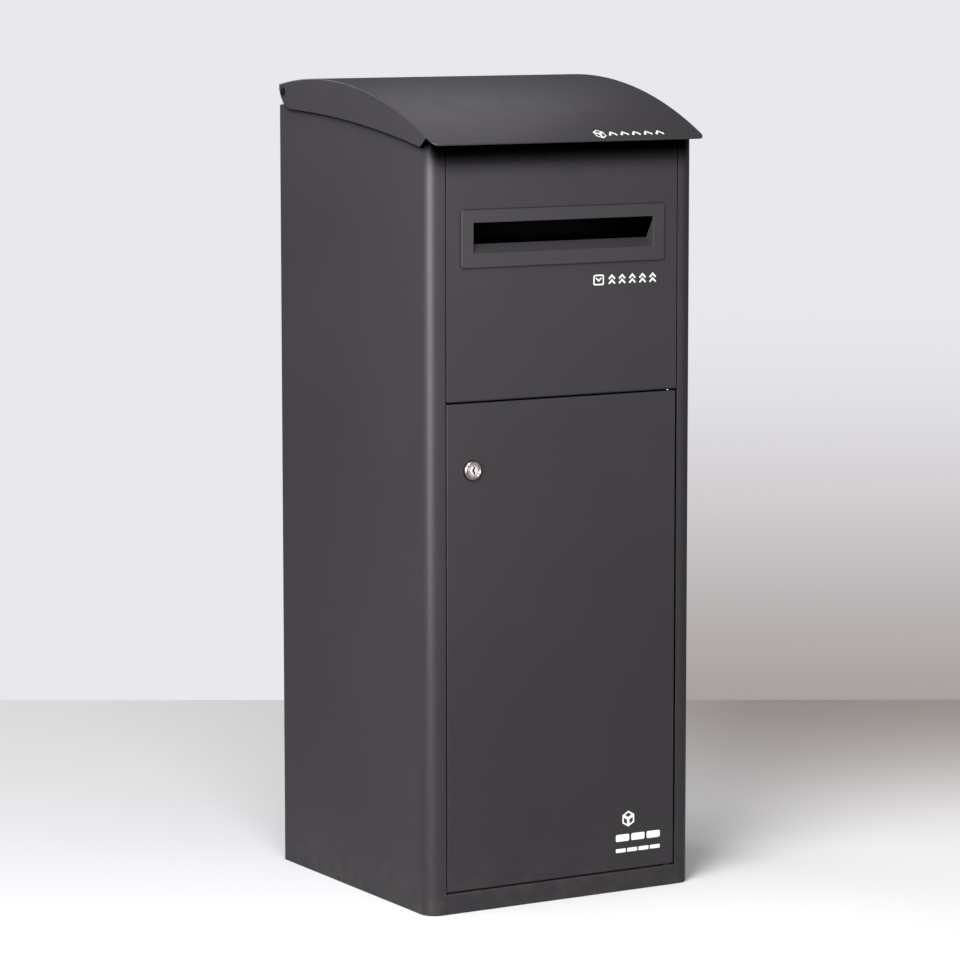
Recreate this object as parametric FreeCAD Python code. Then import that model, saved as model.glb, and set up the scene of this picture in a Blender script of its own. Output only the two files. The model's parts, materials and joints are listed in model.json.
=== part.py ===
import FreeCAD, Part
import math
import os

from FreeCAD import Vector

# A free-standing parcel drop box in folded sheet steel. A curved lid opens over a parcel bay, a flap
# below it shields the parcels while the lid is up, letters drop through a slot in the front, and a
# locked door gives access to what has fallen to the floor of the box.
# Millimetres. +Z is up, the front faces -Y, the origin is on the floor under the centre of the casing.

# ---- Driving dimensions ----

# Casing
WIDTH = 386.0
DEPTH = 380.0
SIDE_HEIGHT = 985.0
FRONT_HEIGHT = 950.0
SHEET = 1.5
CORNER_R = 19.0
BEND_R = 1.0
OPENING_WIDTH = 335.0
REAR_FLANGE = 22.0
WELD_GAP = 0.1

# Front: kick rail, door and fixed upper panel
KICK_HEIGHT = 25.4
DOOR_BOTTOM = 27.0
DOOR_TOP = 632.5
DOOR_WIDTH = 332.0
DOOR_DEPTH = 16.0
PANEL_BOTTOM = 634.0
PANEL_WIDTH = 332.6
RAIL_WIDTH = 334.2
FLANGE_DEPTH = 24.0

# Door pivots
PIVOT_X = 158.0
PIVOT_Y = -183.0
PIVOT_R = 2.5
PIVOT_BLOCK = 8.0
LEFT_JAMB_X = 167.6
RIGHT_JAMB_X = 169.8
LEFT_STOP_Y = -172.0
RIGHT_STOP_Y = -168.0

# Fits, radial: pins that turn, parts pushed together and threads
RUNNING = 0.06
PRESSED = 0.02
THREADED = 0.05

# Lock
LOCK_X = -130.0
LOCK_Z = 550.0
BEZEL_R = 12.5
BARREL_R = 9.5
PLUG_R = 8.0
BEZEL_PROUD = 4.9
BEZEL_CREST_R = 9.4
BEZEL_LIP_R = 8.7
PLUG_PROUD = 4.0
BARREL_END_Y = -171.0
CAM_FRONT_Y = -169.7
CAM_THICK = 2.5
CAM_REACH = 34.0
TAIL = 7.0

# Letter slot
PLATE_WIDTH = 292.4
PLATE_BOTTOM = 797.2
PLATE_TOP = 868.0
PLATE_PROUD = 2.8
MOUTH_WIDTH = 259.0
MOUTH_BOTTOM = 814.8
MOUTH_TOP = 852.2
SILL_RUN = 13.3
SILL_RISE = 10.7
CHEEK_SPLAY = 2.3
CHUTE_BACK_Y = -148.0
LETTER_STUD_R = 1.5

# Lid: one circular arc from front lip to rear edge
LID_WIDTH = 390.4
LID_FRONT_Y = -210.0
LID_REAR_Y = 186.7
LID_ARC_R = 622.0
LID_APEX_Y = 79.0
LID_APEX_Z = 1020.0
LIP_CORNER_R = 10.0

# Lid hinge, flap pivot and the two arms that join them
HINGE_Y = 176.0
HINGE_Z = 1001.6
FLAP_Y = 170.0
FLAP_Z = 705.0
CRANK_R = 60.0
CRANK_DEG = 40.0
PIN_R = 4.0
OPEN_PIVOT_GAP = 0.4
FLAP_LENGTH = 300.0
FLAP_WIDTH = 350.0
SHAFT_R = 5.0

# Fixing holes
ANCHOR_X = 260.0
ANCHOR_Y = 240.0
ANCHOR_R = 5.0
WALL_X = 220.0
WALL_Z = 520.0
WALL_CENTRE_Z = 560.0
WALL_R = 4.0

# ---- Derived dimensions ----

HALF_W = WIDTH / 2
HALF_D = DEPTH / 2
FRONT = -HALF_D
INSIDE_X = HALF_W - SHEET
INSIDE_FRONT = FRONT + SHEET
INSIDE_BACK = HALF_D - SHEET
HALF_OPEN = OPENING_WIDTH / 2
HALF_LID = LID_WIDTH / 2
ARC_Z = LID_APEX_Z - LID_ARC_R
LID_INNER_R = LID_ARC_R - SHEET
BRACKET_OUT = INSIDE_X - WELD_GAP
BRACKET_IN = BRACKET_OUT - 3.0
CRANK_OUT = 187.0
CRANK_IN = 184.0
ARM_OUT = 182.5
ARM_IN = 179.5
FLAP_HALF = FLAP_WIDTH / 2
CHEEK_OUT = FLAP_HALF + SHEET
FLAP_BACK_Y = FLAP_Y - SHAFT_R
FLAP_END_Z = FLAP_Z - FLAP_LENGTH
LEDGE_HALF = 181.0


def crank_offset():
    """From a main pivot to its arm pivot, in the YZ plane, with the lid closed."""
    angle = math.radians(CRANK_DEG)
    return -CRANK_R * math.sin(angle), -CRANK_R * math.cos(angle)


CRANK_DY, CRANK_DZ = crank_offset()
ARM_TOP = (HINGE_Y + CRANK_DY, HINGE_Z + CRANK_DZ)
ARM_BOTTOM = (FLAP_Y + CRANK_DY, FLAP_Z + CRANK_DZ)


# ---- Geometry helpers ----

def in_plan(z):
    """Maps a 2D point to the horizontal plane at height z."""
    return lambda u, v: Vector(u, v, z)


def in_side(x):
    """Maps a 2D point (y, z) to the plane at x."""
    return lambda u, v: Vector(x, u, v)


def in_front(y):
    """Maps a 2D point (x, z) to the plane at y."""
    return lambda u, v: Vector(u, y, v)


def box(x0, x1, y0, y1, z0, z1):
    return Part.makeBox(x1 - x0, y1 - y0, z1 - z0, Vector(x0, y0, z0))


def rod_x(x0, x1, y, z, radius):
    return Part.makeCylinder(radius, x1 - x0, Vector(x0, y, z), Vector(1, 0, 0))


def rod_y(y0, y1, x, z, radius):
    return Part.makeCylinder(radius, y1 - y0, Vector(x, y0, z), Vector(0, 1, 0))


def rod_z(z0, z1, x, y, radius):
    return Part.makeCylinder(radius, z1 - z0, Vector(x, y, z0), Vector(0, 0, 1))


def mirrored(shape):
    """The same shape on the other side of the box."""
    return shape.mirror(Vector(0, 0, 0), Vector(1, 0, 0))


def both_sides(shape):
    """A group of two separate solids, one on each side of the box."""
    return Part.makeCompound([shape, mirrored(shape)])


def rounded_face(corners, radii, place):
    """Face inside a closed polygon, with each corner rounded to its radius."""
    points = [Vector(u, v, 0) for u, v in corners]
    stretches = []
    for i, here in enumerate(points):
        if radii[i] == 0:
            stretches.append((here, None, here))
            continue
        back = (points[i - 1] - here).normalize()
        ahead = (points[(i + 1) % len(points)] - here).normalize()
        half = back.getAngle(ahead) / 2
        reach = radii[i] / math.tan(half)
        bisector = (back + ahead).normalize()
        middle = here + bisector * (radii[i] / math.sin(half) - radii[i])
        stretches.append((here + back * reach, middle, here + ahead * reach))
    edges = []
    for i, (start, middle, end) in enumerate(stretches):
        last_end = stretches[i - 1][2]
        if last_end.distanceToPoint(start) > 1e-6:
            edges.append(Part.LineSegment(place(last_end.x, last_end.y), place(start.x, start.y)).toShape())
        if middle is not None:
            arc = Part.Arc(place(start.x, start.y), place(middle.x, middle.y), place(end.x, end.y))
            edges.append(arc.toShape())
    return Part.Face(Part.Wire(edges))


def plain_face(corners, place):
    return rounded_face(corners, [0] * len(corners), place)


def offset_left(path, distance):
    """The open polyline that runs the given distance to the left of path."""
    normals = []
    for (u0, v0), (u1, v1) in zip(path, path[1:]):
        length = math.hypot(u1 - u0, v1 - v0)
        normals.append((-(v1 - v0) / length, (u1 - u0) / length))
    result = []
    for i, (u, v) in enumerate(path):
        before = normals[max(i - 1, 0)]
        after = normals[min(i, len(normals) - 1)]
        scale = distance / (1 + before[0] * after[0] + before[1] * after[1])
        result.append((u + (before[0] + after[0]) * scale, v + (before[1] + after[1]) * scale))
    return result


def sheet_section(path, inner_radii, place, thickness=SHEET):
    """Section of a folded sheet: path is its right-hand side, with an inside bend radius at each fold."""
    other = offset_left(path, thickness)
    near = [0]
    far = [0]
    for i, radius in enumerate(inner_radii):
        (u0, v0), (u1, v1), (u2, v2) = path[i:i + 3]
        left_turn = (u1 - u0) * (v2 - v1) - (v1 - v0) * (u2 - u1) > 0
        near.append(radius + thickness if left_turn else radius)
        far.append(radius if left_turn else radius + thickness)
    near.append(0)
    far.append(0)
    return rounded_face(path + other[::-1], near + far[::-1], place)


def capsule(start, end, radius, x0, x1):
    """Flat bar with round ends between two points of the YZ plane."""
    along = Vector(end[0] - start[0], end[1] - start[1], 0)
    side = Vector(-along.y, along.x, 0).normalize() * radius
    corners = [
        (start[0] + side.x, start[1] + side.y),
        (end[0] + side.x, end[1] + side.y),
        (end[0] - side.x, end[1] - side.y),
        (start[0] - side.x, start[1] - side.y),
    ]
    bar = plain_face(corners, in_side(x0)).extrude(Vector(x1 - x0, 0, 0))
    ends = [rod_x(x0, x1, point[0], point[1], radius) for point in (start, end)]
    return bar.fuse(ends).removeSplitter()


def lid_z(y, radius=LID_ARC_R):
    """Height of the lid's arc, or of an arc inside it, at depth y."""
    return ARC_Z + math.sqrt(radius ** 2 - (y - LID_APEX_Y) ** 2)


def lid_band(outer_r, inner_r, y0, y1, x0, x1):
    """A strip that follows the lid's arc between two radii, cut off squarely at y0 and y1."""
    place = in_side(x0)
    middle = (y0 + y1) / 2
    outer = Part.Arc(
        place(y0, lid_z(y0, outer_r)), place(middle, lid_z(middle, outer_r)), place(y1, lid_z(y1, outer_r))
    ).toShape()
    inner = Part.Arc(
        place(y1, lid_z(y1, inner_r)), place(middle, lid_z(middle, inner_r)), place(y0, lid_z(y0, inner_r))
    ).toShape()
    rear = Part.LineSegment(place(y1, lid_z(y1, outer_r)), place(y1, lid_z(y1, inner_r))).toShape()
    front = Part.LineSegment(place(y0, lid_z(y0, inner_r)), place(y0, lid_z(y0, outer_r))).toShape()
    face = Part.Face(Part.Wire([outer, rear, inner, front]))
    return face.extrude(Vector(x1 - x0, 0, 0))


def edges_where(shape, test):
    """The shape's edges for which test(bounding box) holds."""
    return [edge for edge in shape.Edges if test(edge.BoundBox)]


# ---- Casing ----

def side_panel():
    """Side sheet: front return, large front corner, side and rear flange, with a sloped top edge."""
    path = [
        (HALF_OPEN, FRONT),
        (HALF_W, FRONT),
        (HALF_W, HALF_D),
        (HALF_W - REAR_FLANGE, HALF_D),
    ]
    section = sheet_section(path, [CORNER_R - SHEET, BEND_R], in_plan(0))
    panel = section.extrude(Vector(0, 0, SIDE_HEIGHT))
    clear = 20.0
    slope_end_y = -30.0
    rear_chamfer = 4.0
    above = [
        (FRONT - clear, SIDE_HEIGHT + clear),
        (FRONT - clear, FRONT_HEIGHT),
        (FRONT, FRONT_HEIGHT),
        (slope_end_y, SIDE_HEIGHT),
        (HALF_D - rear_chamfer, SIDE_HEIGHT),
        (HALF_D, SIDE_HEIGHT - rear_chamfer),
        (HALF_D + clear, SIDE_HEIGHT - rear_chamfer),
        (HALF_D + clear, SIDE_HEIGHT + clear),
    ]
    blend = [0, 0, 0, 60.0, 0, 0, 0, 0]
    x0 = HALF_OPEN - clear
    waste = rounded_face(above, blend, in_side(x0)).extrude(Vector(WIDTH, 0, 0))
    return panel.cut(waste)


def back_panel():
    """Rear sheet inside the side panels' flanges, folded at the top into a ledge and a weather upstand."""
    ledge_y = HINGE_Y - 14.5
    top_z = SIDE_HEIGHT - WELD_GAP
    path = [
        (INSIDE_BACK, SHEET + WELD_GAP),
        (INSIDE_BACK, top_z),
        (ledge_y, top_z),
        (ledge_y, HINGE_Z + 4.0),
    ]
    half = INSIDE_X - BEND_R - WELD_GAP
    panel = sheet_section(path, [BEND_R, BEND_R], in_side(-half)).extrude(Vector(2 * half, 0, 0))
    notch = box(LEDGE_HALF, half + 1, 0, INSIDE_BACK - SHEET, SIDE_HEIGHT - 10, LID_APEX_Z)
    panel = panel.cut([notch, mirrored(notch)])
    for x in (-WALL_X / 2, WALL_X / 2):
        for z in (WALL_CENTRE_Z - WALL_Z / 2, WALL_CENTRE_Z + WALL_Z / 2):
            panel = panel.cut(rod_y(INSIDE_BACK - 2 * SHEET, HALF_D, x, z, WALL_R))
    return panel


def tray_outline(inset, z0, z1):
    """Prism that fills the casing's plan less an inset, from z0 to z1."""
    half_x = INSIDE_X - WELD_GAP - inset
    y_front = INSIDE_FRONT + WELD_GAP + inset
    y_back = INSIDE_BACK - SHEET - WELD_GAP - inset
    front_r = CORNER_R - SHEET - inset
    corners = [(-half_x, y_front), (half_x, y_front), (half_x, y_back), (-half_x, y_back)]
    face = rounded_face(corners, [front_r, front_r, BEND_R, BEND_R], in_plan(z0))
    return face.extrude(Vector(0, 0, z1 - z0))


def base_plate():
    """Floor tray with upturned edges and four holes for ground anchors."""
    wall = 22.0
    tray = tray_outline(0, 0, wall).cut(tray_outline(SHEET, SHEET, wall + SHEET))
    for x in (-ANCHOR_X / 2, ANCHOR_X / 2):
        for y in (-ANCHOR_Y / 2, ANCHOR_Y / 2):
            tray = tray.cut(rod_z(-SHEET, 2 * SHEET, x, y, ANCHOR_R))
    return tray


def floor_mat():
    """Ribbed rubber mat on the floor tray, cut out around the anchor holes."""
    thickness = 3.0
    groove_depth = 0.9
    groove_width = 5.0
    pitch = 11.0
    half = 165.0
    z0 = SHEET + WELD_GAP
    z1 = z0 + thickness
    mat = box(-half, half, -half, half, z0, z1)
    count = int(half / pitch)
    grooves = []
    for i in range(-count, count + 1):
        x0 = i * pitch - groove_width / 2
        x1 = x0 + groove_width
        grooves.append(box(x0, x1, -half - 1, half + 1, z1 - groove_depth, z1 + 1))
    mat = mat.cut(grooves)
    for x in (-ANCHOR_X / 2, ANCHOR_X / 2):
        for y in (-ANCHOR_Y / 2, ANCHOR_Y / 2):
            mat = mat.cut(rod_z(0, z1 + 1, x, y, 3 * ANCHOR_R))
    return mat


def kick_rail():
    """Folded rail under the door: front face, top flange and a short rear lip."""
    rear_y = FRONT + FLANGE_DEPTH
    lip_bottom = KICK_HEIGHT - 9.0
    path = [(rear_y, lip_bottom), (rear_y, KICK_HEIGHT), (FRONT, KICK_HEIGHT), (FRONT, 0)]
    half = RAIL_WIDTH / 2
    rail = sheet_section(path, [BEND_R, BEND_R], in_side(-half)).extrude(Vector(2 * half, 0, 0))
    return rail.cut(rod_z(0, DOOR_BOTTOM, PIVOT_X, PIVOT_Y, PIVOT_R + RUNNING))


def upper_front_panel():
    """Fixed front panel above the door: flanges top and bottom, and the letter plate's aperture."""
    rear_y = FRONT + FLANGE_DEPTH
    path = [(rear_y, FRONT_HEIGHT), (FRONT, FRONT_HEIGHT), (FRONT, PANEL_BOTTOM), (rear_y, PANEL_BOTTOM)]
    half = PANEL_WIDTH / 2
    panel = sheet_section(path, [BEND_R, BEND_R], in_side(-half)).extrude(Vector(2 * half, 0, 0))
    margin = 4.0
    aperture_half = MOUTH_WIDTH / 2 + margin
    z0 = MOUTH_BOTTOM - margin
    z1 = MOUTH_TOP + margin
    aperture = box(-aperture_half, aperture_half, FRONT - SHEET, INSIDE_FRONT + SHEET, z0, z1)
    panel = panel.cut(aperture)
    for x, z in letter_screw_places():
        panel = panel.cut(rod_y(FRONT - SHEET, INSIDE_FRONT + SHEET, x, z, LETTER_STUD_R + 0.2))
    return panel.cut(rod_z(PANEL_BOTTOM - 2, PANEL_BOTTOM + 4, PIVOT_X, PIVOT_Y, PIVOT_R + RUNNING))


def panel_strip():
    """Flat strip welded behind the joint between the upper front panel and the side panel."""
    y0 = INSIDE_FRONT + WELD_GAP
    return box(153.0, 174.0, y0, y0 + SHEET, PANEL_BOTTOM + 6.0, FRONT_HEIGHT - 6.0)


def door_jamb(web_x, stop_y):
    """Z-section strip behind the side panel's return; the door closes before its inner flange."""
    y0 = INSIDE_FRONT + WELD_GAP
    path = [(-174.0, y0), (-web_x, y0), (-web_x, stop_y), (-157.0, stop_y)]
    z0 = KICK_HEIGHT + 2.0
    length = PANEL_BOTTOM - 2.0 - z0
    return sheet_section(path, [0.5, 0.5], in_plan(z0)).extrude(Vector(0, 0, length))


def door_seal_left():
    """Foam strip on the lock-side jamb, just behind the door's folded edge."""
    thickness = 1.6
    y1 = LEFT_STOP_Y - 0.1
    return box(-166.0, -158.0, y1 - thickness, y1, DOOR_BOTTOM + 6.0, DOOR_TOP - 6.0)


def door_seal_top():
    """Foam strip on a folded ledge's underside, above the door's top edge."""
    y0 = FRONT + DOOR_DEPTH + 1.0
    return box(-150.0, 140.0, y0, y0 + 6.0, PANEL_BOTTOM - 5.0, PANEL_BOTTOM - 0.1)


# ---- Letter slot ----

def letter_screw_places():
    """The four studs of the letter plate, as (x, z)."""
    half_x = PLATE_WIDTH / 2 - 7.0
    return [(sx * half_x, z) for sx in (-1, 1) for z in (PLATE_BOTTOM + 8.0, PLATE_TOP - 8.0)]


def mouth_wedge():
    """The space a letter passes on its way over the sill: a rectangle in front, an edge behind."""
    y0 = FRONT - PLATE_PROUD
    y1 = y0 + SILL_RUN
    half = MOUTH_WIDTH / 2
    back_half = half - CHEEK_SPLAY
    sill_z = MOUTH_BOTTOM + SILL_RISE
    low_left = Vector(-half, y0, MOUTH_BOTTOM)
    low_right = Vector(half, y0, MOUTH_BOTTOM)
    top_left = Vector(-half, y0, MOUTH_TOP)
    top_right = Vector(half, y0, MOUTH_TOP)
    back_left = Vector(-back_half, y1, sill_z)
    back_right = Vector(back_half, y1, sill_z)
    loops = [
        [low_left, low_right, top_right, top_left],
        [low_left, low_right, back_right, back_left],
        [top_left, top_right, back_right, back_left],
        [low_left, top_left, back_left],
        [low_right, top_right, back_right],
    ]
    faces = [Part.Face(Part.makePolygon(loop + [loop[0]])) for loop in loops]
    return Part.makeSolid(Part.makeShell(faces))


def letter_plate():
    """Raised frame round the letter slot, with a sill that rises inwards between two triangular cheeks."""
    half = PLATE_WIDTH / 2
    y0 = FRONT - PLATE_PROUD
    corners = [(-half, PLATE_BOTTOM), (half, PLATE_BOTTOM), (half, PLATE_TOP), (-half, PLATE_TOP)]
    plate = rounded_face(corners, [4.0] * 4, in_front(y0)).extrude(Vector(0, PLATE_PROUD, 0))
    front_edges = edges_where(plate, lambda b: b.YMax < y0 + 0.01)
    plate = plate.makeFillet(1.1, front_edges)
    scoop_half = MOUTH_WIDTH / 2 + 2.4
    slope = SILL_RISE / SILL_RUN
    fall = (MOUTH_TOP - MOUTH_BOTTOM - SILL_RISE) / SILL_RUN
    under = MOUTH_BOTTOM + slope * PLATE_PROUD - 2.4
    over = MOUTH_TOP - fall * PLATE_PROUD
    meet = (over - under) / (slope + fall)
    triangle = [(FRONT, under), (FRONT + meet, under + slope * meet), (FRONT, over)]
    scoop = plain_face(triangle, in_side(-scoop_half)).extrude(Vector(2 * scoop_half, 0, 0))
    mouth = box(-MOUTH_WIDTH / 2, MOUTH_WIDTH / 2, y0 - 1, FRONT, MOUTH_BOTTOM, MOUTH_TOP)
    wedge = mouth_wedge()
    through = mouth.cut(box(-half, half, y0 - 2, FRONT + 1, 0, over))
    frame = plate.cut(wedge).cut(through)
    sill_outline = [
        (FRONT - PLATE_PROUD - 1, MOUTH_TOP),
        (FRONT - PLATE_PROUD, MOUTH_TOP),
        (FRONT, over),
        (FRONT, MOUTH_TOP),
    ]
    above_sill = plain_face(sill_outline, in_side(-MOUTH_WIDTH / 2)).extrude(Vector(MOUTH_WIDTH, 0, 0))
    frame = frame.cut(above_sill).fuse(scoop.cut(wedge)).removeSplitter()
    for x, z in letter_screw_places():
        frame = frame.fuse(rod_y(FRONT, INSIDE_FRONT + 6.0, x, z, LETTER_STUD_R))
    return frame


def letter_plate_nuts():
    """Four hexagon nuts on the letter plate's studs."""
    flats = 5.5
    y0 = INSIDE_FRONT + WELD_GAP
    nuts = []
    for x, z in letter_screw_places():
        corners = []
        for i in range(6):
            angle = math.radians(60 * i)
            radius = flats / 2 / math.cos(math.radians(30))
            corners.append((x + radius * math.cos(angle), z + radius * math.sin(angle)))
        nut = plain_face(corners, in_front(y0)).extrude(Vector(0, 2.4, 0))
        nuts.append(nut.cut(rod_y(y0 - 1, y0 + 4, x, z, LETTER_STUD_R + THREADED)))
    return Part.makeCompound(nuts)


def letter_chute():
    """Hood behind the slot that turns letters down and keeps hands and parcels out."""
    thin = 1.2
    y0 = INSIDE_FRONT + WELD_GAP
    half = 150.0
    top_z = 892.0
    bend_z = 874.0
    hood_z = 850.0
    bottom_z = 760.0
    path = [(y0 + thin, top_z), (y0 + thin, bend_z), (CHUTE_BACK_Y, hood_z), (CHUTE_BACK_Y, bottom_z)]
    hood = sheet_section(path[::-1], [1.0, 1.0], in_side(-half), thin).extrude(Vector(2 * half, 0, 0))
    cheek_outline = [
        (y0 + thin, bend_z - 2.0),
        (CHUTE_BACK_Y - 0.5, hood_z - 1.0),
        (CHUTE_BACK_Y - 0.5, bottom_z),
        (y0, bottom_z),
        (y0, bend_z - 2.0),
    ]
    for x0 in (-half, half - thin):
        hood = hood.fuse(plain_face(cheek_outline, in_side(x0)).extrude(Vector(thin, 0, 0)))
    return hood.removeSplitter()


# ---- Door and lock ----

def door_panel():
    """Door sheet: a shallow pan open to the rear, with softly folded front edges."""
    half = DOOR_WIDTH / 2
    back = FRONT + DOOR_DEPTH
    pan = box(-half, half, FRONT, back, DOOR_BOTTOM, DOOR_TOP)
    pan = pan.makeFillet(1.6, edges_where(pan, lambda b: b.YMax < FRONT + 0.01))
    hollow = box(
        -half + SHEET, half - SHEET, FRONT + SHEET, back + 1, DOOR_BOTTOM + SHEET, DOOR_TOP - SHEET
    )
    pan = pan.cut(hollow)
    pan = pan.cut(rod_y(FRONT - 1, INSIDE_FRONT + 1, LOCK_X, LOCK_Z, BARREL_R + 0.1))
    return pan.cut(rod_z(DOOR_BOTTOM - 1, DOOR_TOP + 1, PIVOT_X, PIVOT_Y, PIVOT_R + PRESSED))


def door_stiffener():
    """Hat-section channel up the middle of the door's inside."""
    y0 = INSIDE_FRONT + WELD_GAP
    crown = FRONT + DOOR_DEPTH - 2.5
    path = [(-30.0, y0), (-14.0, y0), (-14.0, crown), (14.0, crown), (14.0, y0), (30.0, y0)]
    section = sheet_section(path, [0.8] * 4, in_plan(DOOR_BOTTOM + 35.0), 1.2)
    return section.extrude(Vector(0, 0, DOOR_TOP - DOOR_BOTTOM - 70.0))


def door_pivot_pins():
    """Headed pins through the door's bottom and top flanges, on the hinge line."""
    head = 2.4
    reach = 11.5
    low_z = DOOR_BOTTOM + SHEET
    lower = rod_z(low_z - SHEET - reach, low_z, PIVOT_X, PIVOT_Y, PIVOT_R)
    lower = lower.fuse(rod_z(low_z, low_z + head, PIVOT_X, PIVOT_Y, 2 * PIVOT_R))
    high_z = DOOR_TOP - SHEET
    upper = rod_z(high_z, high_z + SHEET + reach, PIVOT_X, PIVOT_Y, PIVOT_R)
    upper = upper.fuse(rod_z(high_z - head, high_z, PIVOT_X, PIVOT_Y, 2 * PIVOT_R))
    return Part.makeCompound([lower, upper])


def pivot_block(z0):
    """Bored steel block on the hinge line."""
    z1 = z0 + PIVOT_BLOCK
    block = box(PIVOT_X - 8.0, PIVOT_X + 8.0, PIVOT_Y - 3.7, PIVOT_Y + 9.0, z0, z1)
    return block.cut(rod_z(z0 - 1, z1 + 1, PIVOT_X, PIVOT_Y, PIVOT_R + RUNNING))


def door_pivot_washer():
    """Thrust washer that carries the door on the kick rail."""
    z0 = KICK_HEIGHT + WELD_GAP
    z1 = DOOR_BOTTOM - 0.1
    washer = rod_z(z0, z1, PIVOT_X, PIVOT_Y, 6.0)
    return washer.cut(rod_z(z0 - 1, z1 + 1, PIVOT_X, PIVOT_Y, PIVOT_R + RUNNING))


def lock_housing():
    """Threaded barrel with a domed bezel, bored for the plug."""
    bore = PLUG_R + THREADED
    rim_y = FRONT - 1.0
    crest_y = FRONT - BEZEL_PROUD
    lip_y = crest_y + 0.7
    shoulder = (BEZEL_R - 1.0, FRONT - 3.6)

    def place(radius, y):
        return Vector(LOCK_X + radius, y, LOCK_Z)

    outline = [
        (BEZEL_CREST_R, crest_y),
        (BEZEL_LIP_R, crest_y),
        (bore, lip_y),
        (bore, BARREL_END_Y),
        (BARREL_R, BARREL_END_Y),
        (BARREL_R, FRONT),
        (BEZEL_R, FRONT),
        (BEZEL_R, rim_y),
    ]
    edges = []
    for start, end in zip(outline, outline[1:]):
        edges.append(Part.LineSegment(place(*start), place(*end)).toShape())
    edges.append(Part.Arc(place(BEZEL_R, rim_y), place(*shoulder), place(BEZEL_CREST_R, crest_y)).toShape())
    return Part.Face(Part.Wire(edges)).revolve(Vector(LOCK_X, 0, LOCK_Z), Vector(0, 1, 0), 360)


def lock_nut():
    """Hexagon nut that clamps the barrel to the door sheet."""
    y0 = INSIDE_FRONT + WELD_GAP
    radius = 11.0 / math.cos(math.radians(30))
    corners = []
    for i in range(6):
        angle = math.radians(60 * i)
        corners.append((LOCK_X + radius * math.cos(angle), LOCK_Z + radius * math.sin(angle)))
    nut = plain_face(corners, in_front(y0)).extrude(Vector(0, 3.5, 0))
    return nut.cut(rod_y(y0 - 1, y0 + 5, LOCK_X, LOCK_Z, BARREL_R + THREADED))


def lock_plug():
    """Turning plug with a ringed face, a wavy keyway and a square tail for the cam."""
    face_y = FRONT - PLUG_PROUD
    ring_outer = 6.9
    ring_inner = 6.1
    ring_depth = 0.5
    plug = rod_y(face_y, BARREL_END_Y, LOCK_X, LOCK_Z, PLUG_R)
    groove = rod_y(face_y - 1, face_y + ring_depth, LOCK_X, LOCK_Z, ring_outer)
    groove = groove.cut(rod_y(face_y - 1, face_y + ring_depth, LOCK_X, LOCK_Z, ring_inner))
    plug = plug.cut(groove)
    wave = 0.7
    step = 3.0
    half_w = 1.0
    half_h = 1.7
    depth = 9.0
    for dx, dz in ((wave, step), (-wave, 0), (wave, -step)):
        x = LOCK_X + dx
        z = LOCK_Z + dz
        plug = plug.cut(box(x - half_w, x + half_w, face_y - 1, face_y + depth, z - half_h, z + half_h))
    collar = rod_y(BARREL_END_Y, CAM_FRONT_Y, LOCK_X, LOCK_Z, PLUG_R - 1.0)
    half = TAIL / 2
    tail_y = CAM_FRONT_Y + CAM_THICK
    tail = box(LOCK_X - half, LOCK_X + half, CAM_FRONT_Y, tail_y, LOCK_Z - half, LOCK_Z + half)
    return plug.fuse([collar, tail]).removeSplitter()


def lock_cam():
    """Flat latch arm on the plug's square tail, hanging clear of the jamb when unlocked."""
    y0 = CAM_FRONT_Y
    half = 7.0
    corners = [
        (LOCK_X - half, LOCK_Z - CAM_REACH),
        (LOCK_X + half, LOCK_Z - CAM_REACH),
        (LOCK_X + half, LOCK_Z + 8.5),
        (LOCK_X - half, LOCK_Z + 8.5),
    ]
    arm = rounded_face(corners, [3.0, 3.0, 5.0, 5.0], in_front(y0)).extrude(Vector(0, CAM_THICK, 0))
    hole_half = TAIL / 2 + THREADED
    x0 = LOCK_X - hole_half
    z0 = LOCK_Z - hole_half
    hole = box(x0, x0 + 2 * hole_half, y0 - 1, y0 + CAM_THICK + 1, z0, z0 + 2 * hole_half)
    return arm.cut(hole)


def cam_screw():
    """Washer-faced screw that holds the cam on the plug."""
    y0 = CAM_FRONT_Y + CAM_THICK + 0.05
    washer = rod_y(y0, y0 + 1.0, LOCK_X, LOCK_Z, 6.0)
    head = rod_y(y0 + 1.0, y0 + 3.4, LOCK_X, LOCK_Z, 4.0)
    slot = box(LOCK_X - 3.0, LOCK_X + 3.0, y0 + 2.2, y0 + 4, LOCK_Z - 0.5, LOCK_Z + 0.5)
    return washer.fuse(head).cut(slot)


# ---- Lid ----

def skirt_plate():
    """Right-hand side of the lid, down over the casing, with a swept lower edge."""
    x0 = HALF_LID - SHEET
    place = in_side(x0)
    rear_top = (LID_REAR_Y, lid_z(LID_REAR_Y, LID_ARC_R - 0.5))
    front_top = (-193.0, lid_z(-193.0, LID_ARC_R - 0.5))
    heel = (154.8, 979.6)
    toe = (-170.0, 946.1)
    tip = (-182.0, 948.7)
    top_r = LID_ARC_R - 0.5
    edges = [
        Part.Arc(place(*rear_top), place(178.9, 991.6), place(*heel)).toShape(),
        Part.Arc(place(*heel), place(-9.0, 969.2), place(*toe)).toShape(),
        Part.Arc(place(*toe), place(-177.2, 945.9), place(*tip)).toShape(),
        Part.LineSegment(place(*tip), place(*front_top)).toShape(),
        Part.Arc(place(*front_top), place(LID_APEX_Y, ARC_Z + top_r), place(*rear_top)).toShape(),
    ]
    return Part.Face(Part.Wire(edges)).extrude(Vector(SHEET, 0, 0))


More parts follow.
